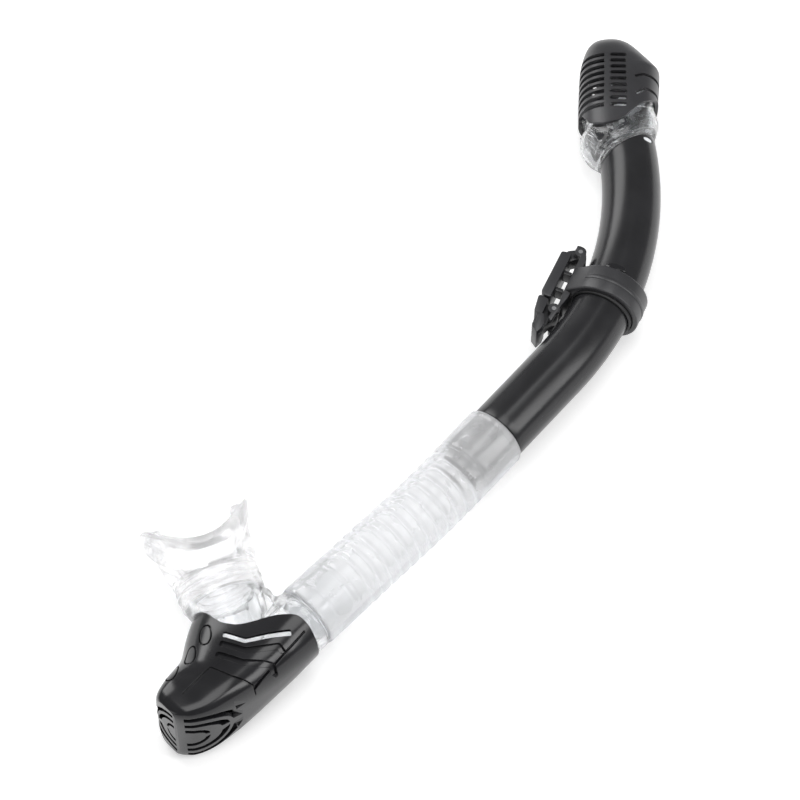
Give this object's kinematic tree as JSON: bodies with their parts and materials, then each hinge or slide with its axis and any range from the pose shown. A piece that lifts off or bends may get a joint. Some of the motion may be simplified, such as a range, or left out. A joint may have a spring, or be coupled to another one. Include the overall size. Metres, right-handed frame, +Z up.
{
  "type": "dry-top snorkel",
  "caption": "Dry-top snorkel with a curved barrel, vented float-valve head, mask-strap keeper, flexible hose, purge chamber and bite mouthpiece.",
  "frame": {"origin": "centre of the bounding box's base, on the surface that the snorkel lies on, with its plane of symmetry parallel to that surface", "axes": "+Y along the hose towards the head, -X towards the mouthpiece and the barrel's bend, +Z up, normal to the plane of symmetry"},
  "size_m": [0.1102, 0.3872, 0.0396],
  "materials": {
    "black_gloss": "glossy black ABS with soft reflections",
    "black_satin": "satin charcoal-black moulded plastic with a fine grain",
    "clear_shell": "clear polycarbonate, polished",
    "clear_silicone": "clear liquid silicone rubber, slightly milky",
    "seal_silicone": "soft translucent silicone seal",
    "steel": "stainless pin",
    "float_foam": "dark hollow float, matt"
  },
  "bodies": {
    "upper_tube": {"barrel": "black_gloss", "valve_housing": "clear_shell", "head_cap": "black_satin", "head_gasket": "seal_silicone", "float_pivot_pin": "steel", "flex_hose": "clear_silicone"},
    "lower_unit": {"purge_chamber": "clear_shell", "mouthpiece": "clear_silicone", "purge_seat": "black_satin", "purge_cover": "black_gloss"},
    "purge_valve": {"purge_flap": "seal_silicone"},
    "float_rocker": {"float": "float_foam", "float_lever": "black_satin", "seal_disc": "seal_silicone"},
    "bush": {"collar_bush": "black_satin"},
    "keeper": {"clip_collar": "black_satin", "gate_pin": "steel", "tab_pin": "steel"},
    "gate": {"strap_gate": "black_satin"},
    "tab": {"release_tab": "black_satin"}
  },
  "joints": [
    {"name": "hose_bend", "type": "hinge", "parent": "upper_tube", "child": "lower_unit", "pos_m": [0.04084, -0.06401, 0.0198], "axis": [0, 0, 1], "range_deg": [-30, 30], "stiffness_Nm_per_rad": 0.3, "deforming": ["flex_hose"]},
    {"name": "purge_lift", "type": "slide", "parent": "lower_unit", "child": "purge_valve", "axis": [-0.2419, -0.9703, 0], "range_m": [0, 0.0015], "stiffness_N_per_m": 8},
    {"name": "float_lift", "type": "hinge", "parent": "upper_tube", "child": "float_rocker", "pos_m": [-0.03076, 0.16559, 0.0198], "axis": [0, 0, -1], "range_deg": [0, 14]},
    {"name": "keeper_slide", "type": "hinge", "parent": "upper_tube", "child": "bush", "pos_m": [-0.10916, 0.03799, 0.0198], "axis": [0, 0, 1], "range_deg": [-13, 0]},
    {"name": "keeper_swivel", "type": "hinge", "parent": "bush", "child": "keeper", "pos_m": [0.03496, 0.07958, 0.0198], "axis": [-0.2773, 0.9608, 0], "range_deg": [-90, 90]},
    {"name": "gate_open", "type": "hinge", "parent": "keeper", "child": "gate", "pos_m": [0.01293, 0.08884, 0.0198], "axis": [0, 0, -1], "range_deg": [0, 80]},
    {"name": "tab_press", "type": "hinge", "parent": "keeper", "child": "tab", "pos_m": [0.02233, 0.05845, 0.0198], "axis": [0, 0, 1], "range_deg": [0, 8], "stiffness_Nm_per_rad": 0.003}
  ]
}
